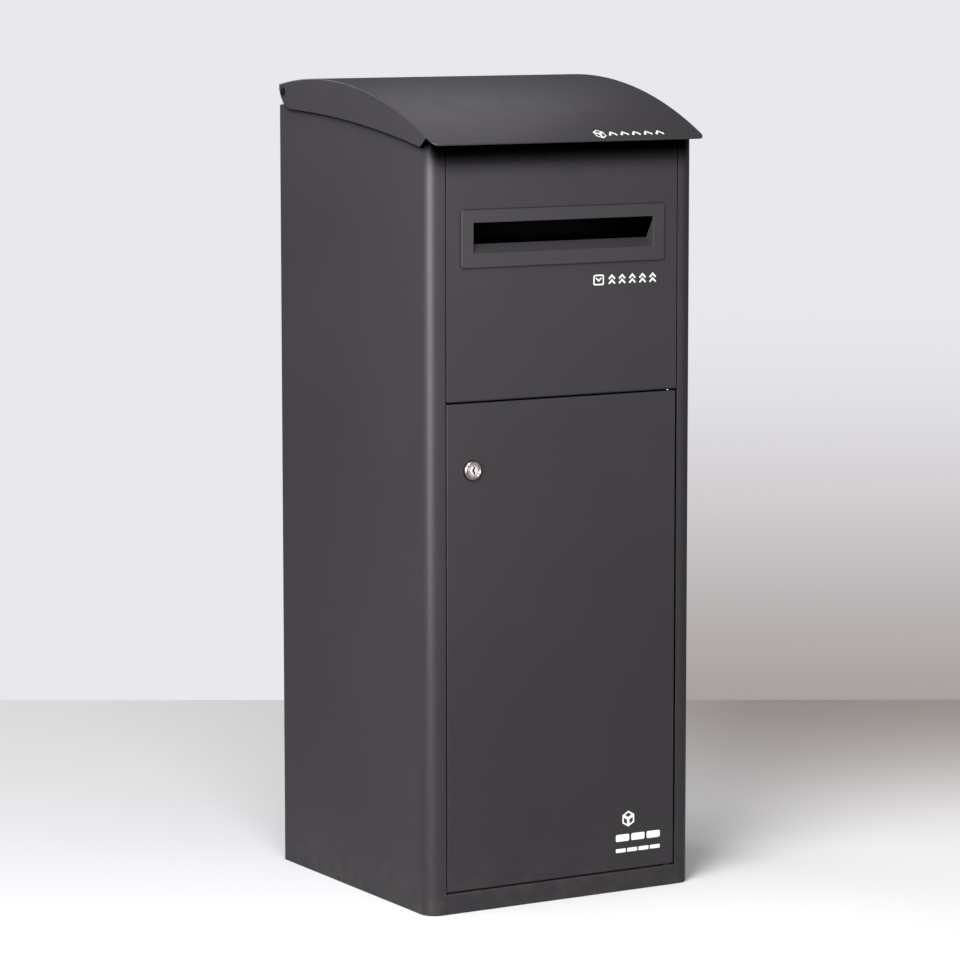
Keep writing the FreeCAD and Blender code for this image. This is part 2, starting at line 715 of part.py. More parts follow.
def lid_shell():
    """Curved top sheet with an overhanging front lip, and a skirt down each side."""
    sheet = lid_band(LID_ARC_R, LID_INNER_R, LID_FRONT_Y - 5, LID_REAR_Y, -HALF_LID, HALF_LID)
    corners = [
        (-HALF_LID, LID_FRONT_Y),
        (HALF_LID, LID_FRONT_Y),
        (HALF_LID, LID_REAR_Y),
        (-HALF_LID, LID_REAR_Y),
    ]
    radii = [LIP_CORNER_R, LIP_CORNER_R, 1.5, 1.5]
    plan = rounded_face(corners, radii, in_plan(900)).extrude(Vector(0, 0, 200))
    skirt = skirt_plate()
    shell = sheet.fuse([skirt, mirrored(skirt)]).common(plan).removeSplitter()
    long_arcs = edges_where(
        shell,
        lambda b: b.YLength > 300 and b.ZMax > LID_APEX_Z - 0.1 and b.XLength < 0.1,
    )
    shell = shell.makeFillet(1.2, long_arcs)
    hole = rod_x(HALF_LID - 2 * SHEET, HALF_LID + 1, HINGE_Y, HINGE_Z, PIN_R + PRESSED)
    return shell.cut([hole, mirrored(hole)])


def lid_stiffener():
    """Hat-section channel across the underside of the lid."""
    centre_y = -80.0
    tilt = math.asin((LID_APEX_Y - centre_y) / LID_INNER_R)
    centre_z = lid_z(centre_y, LID_INNER_R)
    half = 172.0

    def place(u, v):
        y = centre_y + u * math.cos(tilt) - v * math.sin(tilt)
        z = centre_z + u * math.sin(tilt) + v * math.cos(tilt)
        return Vector(-half, y, z)

    seat = -0.8
    crown = seat - 11.0
    path = [(28.0, seat), (13.0, seat), (10.0, crown), (-10.0, crown), (-13.0, seat), (-28.0, seat)]
    return sheet_section(path, [0.8] * 4, place, 1.2).extrude(Vector(2 * half, 0, 0))


def crank_plate():
    """Plate under the lid that carries the hinge pin and the arm pivot, with a flange along the lid."""
    front_y = 100.0
    rear_y = 170.0
    under_r = LID_INNER_R - 0.1
    triangle = [
        (HINGE_Y, HINGE_Z + 8.0),
        (front_y, lid_z(front_y, under_r)),
        (ARM_TOP[0] - 7.0, ARM_TOP[1] - 4.0),
        (ARM_TOP[0] + 6.0, ARM_TOP[1] - 5.5),
        (HINGE_Y + 6.0, HINGE_Z - 5.5),
    ]
    plate = plain_face(triangle, in_side(CRANK_IN)).extrude(Vector(CRANK_OUT - CRANK_IN, 0, 0))
    lobes = [rod_x(CRANK_IN, CRANK_OUT, y, z, 8.0) for y, z in ((HINGE_Y, HINGE_Z), ARM_TOP)]
    flange = lid_band(under_r, under_r - 2.0, front_y, rear_y, CRANK_IN - 14.0, CRANK_OUT)
    plate = plate.fuse(lobes + [flange])
    above = rod_x(CRANK_IN - 20, CRANK_OUT + 5, LID_APEX_Y, ARC_Z, under_r)
    plate = plate.common(above).removeSplitter()
    for y, z in ((HINGE_Y, HINGE_Z), ARM_TOP):
        plate = plate.cut(rod_x(CRANK_IN - 1, CRANK_OUT + 1, y, z, PIN_R + PRESSED))
    return plate


def lid_hinge_pin():
    """Domed pin through the lid's skirt, the hinge bush and the crank plate."""
    shank = rod_x(CRANK_IN - 1.0, HALF_LID, HINGE_Y, HINGE_Z, PIN_R)
    head = rod_x(HALF_LID, HALF_LID + 1.2, HINGE_Y, HINGE_Z, 4.6)
    head = head.makeFillet(0.8, edges_where(head, lambda b: b.XMin > HALF_LID + 1.1))
    return shank.fuse(head)


def crank_pin():
    """Shouldered pin from the crank plate through the top of the arm."""
    y, z = ARM_TOP
    shank = rod_x(ARM_IN - 0.5, CRANK_OUT, y, z, PIN_R)
    shoulder = rod_x(ARM_OUT + 0.2, CRANK_IN, y, z, 6.0)
    clip = rod_x(ARM_IN - 1.7, ARM_IN - 0.3, y, z, 6.0)
    return shank.fuse([shoulder, clip]).removeSplitter()


def hinge_bracket():
    """Plate inside the casing's side that stands up into the lid and carries the hinge bush."""
    outline = [
        (150.0, 925.0),
        (184.0, 925.0),
        (184.0, 972.0),
        (HINGE_Y + 5.5, 990.0),
        (HINGE_Y + 5.5, HINGE_Z),
        (HINGE_Y - 7.5, HINGE_Z),
        (HINGE_Y - 9.5, 990.0),
        (150.0, 965.0),
    ]
    radii = [4.0, 4.0, 0, 0, 0, 0, 0, 4.0]
    plate = rounded_face(outline, radii, in_side(BRACKET_IN)).extrude(Vector(3.0, 0, 0))
    lobe = rod_x(BRACKET_IN, BRACKET_OUT, HINGE_Y, HINGE_Z, 8.0)
    plate = plate.fuse(lobe).removeSplitter()
    return plate.cut(rod_x(BRACKET_IN - 1, BRACKET_OUT + 1, HINGE_Y, HINGE_Z, 5.6))


def lid_hinge_bush():
    """Flanged bush in the hinge bracket."""
    sleeve = rod_x(BRACKET_IN, BRACKET_OUT, HINGE_Y, HINGE_Z, 5.55)
    flange = rod_x(BRACKET_IN - 1.0, BRACKET_IN - 0.05, HINGE_Y, HINGE_Z, 7.0)
    sleeve = sleeve.fuse([flange, rod_x(BRACKET_IN - 0.1, BRACKET_IN, HINGE_Y, HINGE_Z, 5.55)])
    sleeve = sleeve.removeSplitter()
    return sleeve.cut(rod_x(BRACKET_IN - 2, BRACKET_OUT + 1, HINGE_Y, HINGE_Z, PIN_R + RUNNING))


def lid_buffer():
    """Rubber buffer on the front panel's top flange, just under the closed lid."""
    y = -177.0
    z0 = FRONT_HEIGHT + WELD_GAP
    z1 = lid_z(y - 6.0, LID_INNER_R) - 0.3
    return Part.makeCone(6.0, 5.0, z1 - z0, Vector(140.0, y, z0), Vector(0, 0, 1))


# ---- Flap and arms ----

def arm():
    """Flat bar from the lid's crank to the flap; its lower hole is loose on the pin."""
    bar = capsule(ARM_TOP, ARM_BOTTOM, 8.0, ARM_IN, ARM_OUT)
    top_hole = rod_x(ARM_IN - 1, ARM_OUT + 1, ARM_TOP[0], ARM_TOP[1], PIN_R + RUNNING)
    low_hole = rod_x(ARM_IN - 1, ARM_OUT + 1, ARM_BOTTOM[0], ARM_BOTTOM[1], PIN_R + OPEN_PIVOT_GAP)
    return bar.cut([top_hole, low_hole])


def flap_bearing():
    """Plate and boss on the casing's side that carry the flap's shaft."""
    plate = box(BRACKET_IN, BRACKET_OUT, FLAP_Y - 25.0, FLAP_Y + 15.0, FLAP_Z - 25.0, FLAP_Z + 25.0)
    plate = plate.makeFillet(5.0, edges_where(plate, lambda b: b.XLength > 2.9))
    boss = rod_x(CHEEK_OUT + 1.0, BRACKET_IN, FLAP_Y, FLAP_Z, 10.0)
    bearing = plate.fuse(boss).removeSplitter()
    return bearing.cut(rod_x(CHEEK_OUT, BRACKET_OUT + 1, FLAP_Y, FLAP_Z, SHAFT_R + RUNNING))


def flap_shaft():
    """Steel rod that the flap swings on."""
    return rod_x(-BRACKET_OUT + 0.5, BRACKET_OUT - 0.5, FLAP_Y, FLAP_Z, SHAFT_R)


def flap_plate():
    """Sheet rolled round the shaft at the top; it hangs by the rear wall while the lid is shut."""
    knuckle = rod_x(-FLAP_HALF, FLAP_HALF, FLAP_Y, FLAP_Z, SHAFT_R + SHEET)
    sheet = box(-FLAP_HALF, FLAP_HALF, FLAP_BACK_Y - SHEET, FLAP_BACK_Y, FLAP_END_Z, FLAP_Z)
    plate = knuckle.fuse(sheet).removeSplitter()
    return plate.cut(rod_x(-FLAP_HALF - 1, FLAP_HALF + 1, FLAP_Y, FLAP_Z, SHAFT_R + PRESSED))


def flap_cheek():
    """Side wall of the flap, with an ear for the arm's lower pivot."""
    y, z = ARM_BOTTOM
    outline = [
        (FLAP_BACK_Y, FLAP_Z + 9.0),
        (FLAP_BACK_Y - 6.0, FLAP_Z + 9.0),
        (y - 8.0, z + 4.0),
        (y - 8.0, z - 7.0),
        (FLAP_BACK_Y - 20.0, z - 38.0),
        (FLAP_BACK_Y - 14.0, FLAP_END_Z + 6.0),
        (FLAP_BACK_Y - 8.0, FLAP_END_Z),
        (FLAP_BACK_Y, FLAP_END_Z),
    ]
    radii = [0, 0, 6.0, 6.0, 12.0, 4.0, 0, 0]
    cheek = rounded_face(outline, radii, in_side(FLAP_HALF)).extrude(Vector(SHEET, 0, 0))
    cheek = cheek.cut(rod_x(FLAP_HALF - 1, CHEEK_OUT + 1, FLAP_Y, FLAP_Z, SHAFT_R + SHEET + 0.1))
    return cheek.cut(rod_x(FLAP_HALF - 1, CHEEK_OUT + 1, y, z, PIN_R + PRESSED))


def flap_pin():
    """Shouldered pin from the flap's ear through the bottom of the arm."""
    y, z = ARM_BOTTOM
    shank = rod_x(FLAP_HALF - 0.5, ARM_OUT + 0.6, y, z, PIN_R)
    shoulder = rod_x(CHEEK_OUT, ARM_IN - 0.3, y, z, 6.0)
    clip = rod_x(ARM_OUT + 0.3, ARM_OUT + 1.3, y, z, 6.0)
    return shank.fuse([shoulder, clip]).removeSplitter()


def flap_edge_trim():
    """Rubber channel pressed over the flap's free edge."""
    wall = 1.6
    y0 = FLAP_BACK_Y - SHEET - wall
    y1 = FLAP_BACK_Y + wall
    z0 = FLAP_END_Z - 2.5
    z1 = FLAP_END_Z + 9.0
    outline = [(y0, z0), (y1, z0), (y1, z1), (y0, z1)]
    half = FLAP_HALF - 1.0
    trim = rounded_face(outline, [1.5, 1.5, 0.5, 0.5], in_side(-half)).extrude(Vector(2 * half, 0, 0))
    gap = 0.05
    slot = box(
        -half - 1, half + 1, FLAP_BACK_Y - SHEET - gap, FLAP_BACK_Y + gap, FLAP_END_Z - gap, FLAP_END_Z + 10
    )
    return trim.cut(slot)


# ---- Assembly ----

side = side_panel()
strip = panel_strip()
bracket = hinge_bracket()
bearing = flap_bearing()
crank = crank_plate()
cheek = flap_cheek()
bar = arm()

NODES = {
    "side_panel_right": side,
    "side_panel_left": mirrored(side),
    "back_panel": back_panel(),
    "base_plate": base_plate(),
    "floor_mat": floor_mat(),
    "kick_rail": kick_rail(),
    "upper_front_panel": upper_front_panel(),
    "panel_strip_right": strip,
    "panel_strip_left": mirrored(strip),
    "door_jamb_left": door_jamb(LEFT_JAMB_X, LEFT_STOP_Y),
    "door_jamb_right": mirrored(door_jamb(RIGHT_JAMB_X, RIGHT_STOP_Y)),
    "door_seal_left": door_seal_left(),
    "door_seal_top": door_seal_top(),
    "letter_plate": letter_plate(),
    "letter_plate_nuts": letter_plate_nuts(),
    "letter_chute": letter_chute(),
    "pivot_block_lower": pivot_block(KICK_HEIGHT - SHEET - WELD_GAP - PIVOT_BLOCK),
    "pivot_block_upper": pivot_block(PANEL_BOTTOM + SHEET + WELD_GAP),
    "door_pivot_washer": door_pivot_washer(),
    "lid_buffers": both_sides(lid_buffer()),
    "hinge_bracket_right": bracket,
    "hinge_bracket_left": mirrored(bracket),
    "lid_hinge_bushes": both_sides(lid_hinge_bush()),
    "flap_bearing_right": bearing,
    "flap_bearing_left": mirrored(bearing),
    "door_panel": door_panel(),
    "door_stiffener": door_stiffener(),
    "door_pivot_pins": door_pivot_pins(),
    "lock_housing": lock_housing(),
    "lock_nut": lock_nut(),
    "lock_plug": lock_plug(),
    "lock_cam": lock_cam(),
    "cam_screw": cam_screw(),
    "lid_shell": lid_shell(),
    "lid_stiffener": lid_stiffener(),
    "crank_plate_right": crank,
    "crank_plate_left": mirrored(crank),
    "lid_hinge_pins": both_sides(lid_hinge_pin()),
    "crank_pins": both_sides(crank_pin()),
    "arm_right": bar,
    "arm_left": mirrored(bar),
    "flap_plate": flap_plate(),
    "flap_shaft": flap_shaft(),
    "flap_cheek_right": cheek,
    "flap_cheek_left": mirrored(cheek),
    "flap_pins": both_sides(flap_pin()),
    "flap_edge_trim": flap_edge_trim(),
}

os.makedirs("parts", exist_ok=True)
for name, shape in NODES.items():
    valid = shape.isValid()
    print(f"{name}: {len(shape.Solids)} solids, volume {shape.Volume:.0f} mm3, valid {valid}")
    shape.exportStep(f"parts/{name}.step")
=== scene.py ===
import json
import math

import bmesh
import bpy
from mathutils import Matrix, Vector

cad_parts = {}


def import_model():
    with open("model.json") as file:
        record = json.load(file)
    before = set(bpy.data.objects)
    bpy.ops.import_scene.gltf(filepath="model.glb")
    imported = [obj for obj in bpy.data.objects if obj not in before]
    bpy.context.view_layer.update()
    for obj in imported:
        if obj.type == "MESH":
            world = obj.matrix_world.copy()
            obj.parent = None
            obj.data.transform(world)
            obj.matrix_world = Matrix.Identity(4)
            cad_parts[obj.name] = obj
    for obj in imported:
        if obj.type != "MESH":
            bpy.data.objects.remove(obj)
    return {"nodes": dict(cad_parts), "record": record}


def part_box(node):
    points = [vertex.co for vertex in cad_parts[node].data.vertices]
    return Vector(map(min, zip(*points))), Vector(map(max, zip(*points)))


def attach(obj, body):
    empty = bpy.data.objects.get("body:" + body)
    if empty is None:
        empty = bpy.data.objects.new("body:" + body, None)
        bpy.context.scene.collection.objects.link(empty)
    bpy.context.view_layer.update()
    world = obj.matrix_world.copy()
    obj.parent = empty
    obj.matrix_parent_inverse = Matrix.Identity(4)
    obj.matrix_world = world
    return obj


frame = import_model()

# Looks of the parcel drop box. Metres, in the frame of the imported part: the front faces -Y, +Z is up.

MM = 0.001
NODES = frame["nodes"]
SLOTS = {part["node"]: part["material_slot"] for part in frame["record"]["subparts"]}
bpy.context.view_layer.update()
FRONT_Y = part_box("side_panel_left")[0].y

# Shading of the sheet metal: rounding seen on its edges, and the heights between which
# the painted shade under the lid's overhang fades in and the painted shade near the floor fades out.
EDGE_ROUNDING = 1.2 * MM
UNDER_LID = (0.905, 0.925)
NEAR_FLOOR = (0.09, 0.06)
DUST_LINE = 0.10

# Printed marks: lift off the coat, thickness, and heights or places of their lines.
INK_LIFT = 0.03 * MM
INK_THICK = 0.05 * MM
LETTER_MARK_Z = 775.5 * MM
LID_MARK_Y = -196.5 * MM
DOOR_MARK_X = 79.3 * MM

# The lid's arc.
LID_RADIUS = 622 * MM
LID_AXIS_Y = 79 * MM
LID_AXIS_Z = 398 * MM

# Camera: bearing from the front (negative to the left), height angle, roll, distance and lens.
AZIMUTH = math.radians(-30.48)
ELEVATION = math.radians(7.36)
ROLL = math.radians(-0.042)
DISTANCE = 5.174
LENS = 151.84
SENSOR = 36.0
AIM_HEIGHT = 0.5086
AIM_ACROSS = -0.0063

# Level directions along and across the camera's bearing, and the one back to the camera.
ACROSS = Vector((math.cos(AZIMUTH), math.sin(AZIMUTH), 0))
TOWARDS = Vector((math.sin(AZIMUTH), -math.cos(AZIMUTH), 0))
BACK = TOWARDS * math.cos(ELEVATION) + Vector((0, 0, math.sin(ELEVATION)))

# Stage: the floor's far edge and reach, and the light the surroundings give.
FLOOR_BEHIND = 1.21
FLOOR_REACH = 14.0
FLOOR_DROP = 0.5 * MM
AMBIENT = (0.26, 0.55)
LID_MIRROR = Vector((0.50, 0.64, 0.58)).normalized()
LID_MIRROR_SHARE = 0.4


# ---- Node helpers ----

class Shader:
    """A material's node tree, with short calls for the nodes used here."""

    def __init__(self, name):
        self.material = bpy.data.materials.new(name)
        self.material.use_nodes = True
        self.tree = self.material.node_tree
        self.tree.nodes.clear()
        self.out = self.add("ShaderNodeOutputMaterial")
        self.bsdf = self.add("ShaderNodeBsdfPrincipled")
        self.link(self.bsdf.outputs["BSDF"], self.out.inputs["Surface"])
        self.coordinates = self.add("ShaderNodeTexCoord").outputs["Object"]

    def add(self, kind, **values):
        node = self.tree.nodes.new(kind)
        for name, value in values.items():
            setattr(node, name, value)
        return node

    def link(self, source, target):
        self.tree.links.new(source, target)

    def set(self, **values):
        """Sets the shader's own sockets; an underscore in a name stands for a space."""
        for name, value in values.items():
            self.bsdf.inputs[name.replace("_", " ")].default_value = value

    def stretched(self, x=1.0, y=1.0, z=1.0):
        node = self.add("ShaderNodeMapping")
        node.inputs["Scale"].default_value = (x, y, z)
        self.link(self.coordinates, node.inputs["Vector"])
        return node.outputs["Vector"]

    def noise(self, size, detail=2.0, rough=0.5, vector=None, distortion=0.0):
        """Noise whose features are about size metres across."""
        node = self.add("ShaderNodeTexNoise")
        node.inputs["Scale"].default_value = 1.0 / size
        node.inputs["Detail"].default_value = detail
        node.inputs["Roughness"].default_value = rough
        node.inputs["Distortion"].default_value = distortion
        self.link(vector or self.coordinates, node.inputs["Vector"])
        return node.outputs["Fac"]

    def cells(self, size):
        """Distance to the centre of round cells about size metres across."""
        node = self.add("ShaderNodeTexVoronoi")
        node.inputs["Scale"].default_value = 1.0 / size
        self.link(self.coordinates, node.inputs["Vector"])
        return node.outputs["Distance"]

    def ranged(self, value, low, high, to_low=0.0, to_high=1.0):
        node = self.add("ShaderNodeMapRange")
        node.inputs["From Min"].default_value = low
        node.inputs["From Max"].default_value = high
        node.inputs["To Min"].default_value = to_low
        node.inputs["To Max"].default_value = to_high
        self.link(value, node.inputs["Value"])
        return node.outputs["Result"]

    def math(self, operation, first, second):
        node = self.add("ShaderNodeMath", operation=operation)
        for socket, value in zip(node.inputs, (first, second)):
            if isinstance(value, (int, float)):
                socket.default_value = value
            else:
                self.link(value, socket)
        return node.outputs["Value"]

    def mix(self, factor, first, second):
        """Colour between first and second; each is a colour or a socket."""
        node = self.add("ShaderNodeMix", data_type="RGBA")
        self.link(factor, node.inputs["Factor"])
        for index, value in ((6, first), (7, second)):
            if isinstance(value, tuple):
                node.inputs[index].default_value = (*value, 1.0)
            else:
                self.link(value, node.inputs[index])
        return node.outputs[2]

    def colour(self, source):
        self.link(source, self.bsdf.inputs["Base Color"])

    def roughness(self, source):
        self.link(source, self.bsdf.inputs["Roughness"])

    def height(self):
        node = self.add("ShaderNodeSeparateXYZ")
        self.link(self.coordinates, node.inputs["Vector"])
        return node.outputs["Z"]

    def shade_crevices(self, colour, reach, low, high, lid_low=None, lid_high=None):
        """Paints shade into the colour: gaps and tight corners go to black; just under the lid the limits
        can be others.
        """
        node = self.add("ShaderNodeAmbientOcclusion", samples=8)
        node.inputs["Distance"].default_value = reach
        open_air = self.ranged(node.outputs["AO"], low, high)
        if lid_low is not None:
            covered = self.ranged(node.outputs["AO"], lid_low, lid_high)
            gap = self.math("SUBTRACT", covered, open_air)
            near_lid = self.ranged(self.height(), *UNDER_LID)
            open_air = self.math("ADD", open_air, self.math("MULTIPLY", gap, near_lid))
        open_air = self.math("MAXIMUM", open_air, self.ranged(self.height(), *NEAR_FLOOR))
        self.colour(self.mix(open_air, (0.0, 0.0, 0.0), colour))
        # Where painted shade falls the coat also turns to black metal, so it loses its reflection too.
        if self.bsdf.inputs["Metallic"].default_value < 1.0:
            self.link(self.math("SUBTRACT", 1.0, open_air), self.bsdf.inputs["Metallic"])

    def bump(self, *layers):
        """Stacks bumps; each layer is (height socket, depth in metres, strength)."""
        rounding = self.add("ShaderNodeBevel", samples=4)
        rounding.inputs["Radius"].default_value = EDGE_ROUNDING
        normal = rounding.outputs["Normal"]
        for height, depth, strength in layers:
            node = self.add("ShaderNodeBump")
            node.inputs["Strength"].default_value = strength
            node.inputs["Distance"].default_value = depth
            self.link(height, node.inputs["Height"])
            self.link(normal, node.inputs["Normal"])
            normal = node.outputs["Normal"]
        self.link(normal, self.bsdf.inputs["Normal"])


def srgb(r, g, b):
    """Linear colour from 0-255 screen values."""
    def linear(c):
        c = c / 255
        return c / 12.92 if c <= 0.04045 else ((c + 0.055) / 1.055) ** 2.4
    return linear(r), linear(g), linear(b)


# ---- Materials ----

def powder_coat(name, dark, light, sheen_rough, *shade):
    """Satin powder coat: orange peel, a little mottling, rubbed marks, dust near the floor, and painted
    shade in gaps, corners and under the lid.
    """
    s = Shader(name)
    s.set(Specular_IOR_Level=0.36, IOR=1.5, Specular_Tint=(1.0, 0.93, 1.02, 1.0))
    drift = s.noise(0.22, 3.0, 0.55)
    grain = s.noise(0.0011, 2.0, 0.6)
    tone = s.math("ADD", s.math("MULTIPLY", drift, 0.6), s.math("MULTIPLY", grain, 0.4))
    base = s.mix(s.ranged(tone, 0.35, 0.65), dark, light)
    near_floor = s.ranged(s.height(), DUST_LINE, 0.0)
    dusty = s.ranged(s.noise(0.018, 5.0, 0.7), 0.45, 0.75, 0.0, 0.06)
    base = s.mix(s.math("MULTIPLY", near_floor, dusty), base, srgb(150, 142, 132))
    # Painted shade, from the reach and limits given in shade.
    s.shade_crevices(base, *shade)
    rubs = s.noise(0.05, 4.0, 0.6, s.stretched(1.0, 1.0, 0.35), 0.8)
    s.roughness(s.ranged(rubs, 0.3, 0.75, sheen_rough + 0.03, sheen_rough - 0.03))
    peel = s.noise(0.0028, 2.0, 0.5)
    fine = s.noise(0.0007, 1.0, 0.5)
    s.bump((peel, 0.00012, 0.35), (fine, 0.00003, 0.35))
    return s.material


def zinc(name):
    """Zinc-plated steel: soft spangle, faint yellow-blue passivation and directional rolling lines."""
    s = Shader(name)
    s.set(Metallic=1.0)
    cells = s.noise(0.006, 3.0, 0.6, None, 1.5)
    tint = s.mix(s.ranged(cells, 0.35, 0.65), srgb(178, 178, 176), srgb(196, 192, 180))
    stain = s.noise(0.03, 4.0, 0.65)
    s.colour(s.mix(s.ranged(stain, 0.5, 0.8, 0.0, 0.5), tint, srgb(140, 138, 134)))
    lines = s.noise(0.0006, 2.0, 0.6, s.stretched(1.0, 1.0, 0.03))
    s.roughness(s.ranged(lines, 0.3, 0.7, 0.28, 0.46))
    s.bump((lines, 0.00003, 0.4), (cells, 0.00008, 0.25))
    return s.material


def blackened(name):
    """Oil-blackened steel of the hinge pins."""
    s = Shader(name)
    s.set(Metallic=1.0)
    worn = s.noise(0.0025, 4.0, 0.7)
    s.colour(s.mix(s.ranged(worn, 0.55, 0.75), srgb(20, 19, 21), srgb(58, 56, 57)))
    s.roughness(s.ranged(worn, 0.3, 0.7, 0.5, 0.34))
    s.bump((s.noise(0.0006, 2.0), 0.00003, 0.4))
    return s.material


def chrome(name, dull, bright, rough):
    """Nickel-chrome plating with a trace of finger haze and fine turning marks; tight gaps such as the
    keyway and the groove round the plug are painted black as shade.
    """
    s = Shader(name)
    s.set(Metallic=1.0)
    haze = s.noise(0.006, 4.0, 0.6)
    s.shade_crevices(s.mix(s.ranged(haze, 0.3, 0.7), dull, bright), 0.004, 0.45, 0.85)
    s.roughness(s.ranged(haze, 0.3, 0.8, rough, rough + 0.06))
    s.bump((s.noise(0.0015, 2.0), 0.00001, 0.1))
    return s.material


def rubber(name):
    """Black moulded rubber with a matt, slightly dusty face."""
    s = Shader(name)
    s.set(Specular_IOR_Level=0.35)
    dust = s.noise(0.012, 5.0, 0.7)
    s.colour(s.mix(s.ranged(dust, 0.45, 0.8), srgb(26, 26, 27), srgb(52, 50, 48)))
    s.roughness(s.ranged(dust, 0.3, 0.8, 0.62, 0.85))
    s.bump((s.noise(0.0009, 3.0, 0.6), 0.00008, 0.5))
    return s.material


def foam(name):
    """Closed-cell foam: small open pits over the cut faces, painted darker towards their bottoms as
    shade.
    """
    s = Shader(name)
    s.set(Specular_IOR_Level=0.2)
    pits = s.cells(0.0012)
    # Painted shade: the pits darken towards their middles.
    s.colour(s.mix(s.ranged(pits, 0.0, 0.5), srgb(20, 20, 21), srgb(44, 43, 44)))
    s.roughness(s.ranged(pits, 0.0, 0.6, 0.95, 0.8))
    s.bump((pits, 0.0004, 0.7))
    return s.material


def nylon(name):
    """Black nylon with turning marks."""
    s = Shader(name)
    s.set(Specular_IOR_Level=0.4)
    s.colour(s.mix(s.ranged(s.noise(0.004, 3.0), 0.3, 0.7), srgb(34, 34, 35), srgb(46, 45, 46)))
    marks = s.noise(0.0005, 1.0, 0.5, s.stretched(1.0, 0.1, 0.1))
    s.roughness(s.ranged(marks, 0.3, 0.7, 0.38, 0.5))
    s.bump((marks, 0.00004, 0.3))
    return s.material


def white_ink(name):
    """Screen-printed white ink: slightly uneven cover over the coat's texture."""
    s = Shader(name)
    cover = s.noise(0.0012, 4.0, 0.7)
    s.colour(s.mix(s.ranged(cover, 0.62, 0.8, 0.0, 0.6), srgb(238, 236, 234), srgb(176, 172, 172)))
    s.roughness(s.ranged(cover, 0.3, 0.7, 0.45, 0.6))
    s.bump((s.noise(0.0028, 2.0), 0.00006, 0.3))
    return s.material


CHARCOAL = (0.0205, 0.0188, 0.0215), (0.0245, 0.0223, 0.0255)
PLATE_CHARCOAL = (0.024, 0.022, 0.0248), (0.028, 0.0255, 0.0288)
INNER_CHARCOAL = (0.018, 0.017, 0.019), (0.022, 0.021, 0.023)
NICKEL = srgb(214, 208, 207), srgb(226, 221, 220)
# The bezel's darker nickel is painted reflection: it stands in for the dark surroundings the domed bezel
# reflects.
BEZEL_NICKEL_WITH_PAINTED_REFLECTION = srgb(150, 138, 134), srgb(168, 156, 152)
# The last numbers of each coat are its painted shade: reach and limits, then the limits just under the
# lid.
MATERIALS = {
    "charcoal_powder_coat": powder_coat(
        "charcoal_powder_coat", *CHARCOAL, 0.42, 0.055, 0.36, 0.72, 0.86, 0.955
    ),
    "inner_powder_coat": powder_coat("inner_powder_coat", *INNER_CHARCOAL, 0.50, 0.12, 0.05, 0.75),
    "zinc_plated_steel": zinc("zinc_plated_steel"),
    "blackened_pin": blackened("blackened_pin"),
    "chrome_lock": chrome("chrome_lock", *NICKEL, 0.16),
    "black_rubber": rubber("black_rubber"),
    "foam_seal": foam("foam_seal"),
    "nylon": nylon("nylon"),
    "printed_white": white_ink("printed_white"),
}
# The chute's coat is painted almost black as shade inside the slot; the plate's painted shade is faint.
OWN_FINISH = {
    "lock_housing": chrome("lock_bezel_chrome", *BEZEL_NICKEL_WITH_PAINTED_REFLECTION, 0.10),
    "letter_chute": powder_coat("letter_chute_coat", *INNER_CHARCOAL, 0.50, 0.12, 0.45, 0.98),
    "letter_plate": powder_coat("letter_plate_coat", *PLATE_CHARCOAL, 0.38, 0.015, 0.02, 0.25),
}

for name, node in NODES.items():
    node.data.materials.clear()
    node.data.materials.append(OWN_FINISH.get(name) or MATERIALS[SLOTS[name]])


# ---- Mesh helpers ----

def piece(name, mesh_data, material_slot, body):
    """A finished piece from a bmesh: linked, given its material, riding on its body."""
    mesh = bpy.data.meshes.new(name)
    bmesh.ops.recalc_face_normals(mesh_data, faces=mesh_data.faces)
    mesh_data.to_mesh(mesh)
    mesh_data.free()
    mesh.materials.append(MATERIALS[material_slot])
    thing = bpy.data.objects.new(name, mesh)
    bpy.context.scene.collection.objects.link(thing)
    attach(thing, body)
    return thing


# ---- Printed pictograms ----

def stroke(points, width, closed=False):
    """Flat quads of one width along a polyline of 2D points, mitred where they meet."""
    count = len(points)
    left, right = [], []
    for i, point in enumerate(points):
        here = Vector(point)
        before = Vector(points[i - 1]) if closed or i > 0 else None
        after = Vector(points[(i + 1) % count]) if closed or i < count - 1 else None
        into = (here - before).normalized() if before is not None else (after - here).normalized()
        out = (after - here).normalized() if after is not None else into
        normal_in = Vector((-into.y, into.x))
        normal_out = Vector((-out.y, out.x))
        mitre = (normal_in + normal_out).normalized()
        reach = width / 2 / max(mitre.dot(normal_in), 0.3)
        left.append(here + mitre * reach)
        right.append(here - mitre * reach)
    quads = []
    for i in range(count if closed else count - 1):
        j = (i + 1) % count
        quads.append([left[i], left[j], right[j], right[i]])
    return quads


def arc_points(centre, radius, start, end, steps):
    """Points round a centre from one angle to another, in degrees."""
    return [
        (
            centre[0] + radius * math.cos(math.radians(start + (end - start) * i / steps)),
            centre[1] + radius * math.sin(math.radians(start + (end - start) * i / steps)),
        )
        for i in range(steps + 1)
    ]


def rounded_rectangle(x0, x1, y0, y1, radius):
    """Corners of a rectangle with rounded ends, anticlockwise."""
    points = []
    for cx, cy, start in (
        (x1 - radius, y0 + radius, -90),
        (x1 - radius, y1 - radius, 0),
        (x0 + radius, y1 - radius, 90),
        (x0 + radius, y0 + radius, 180),
    ):
        points += arc_points((cx, cy), radius, start, start + 90, 5)
    return points


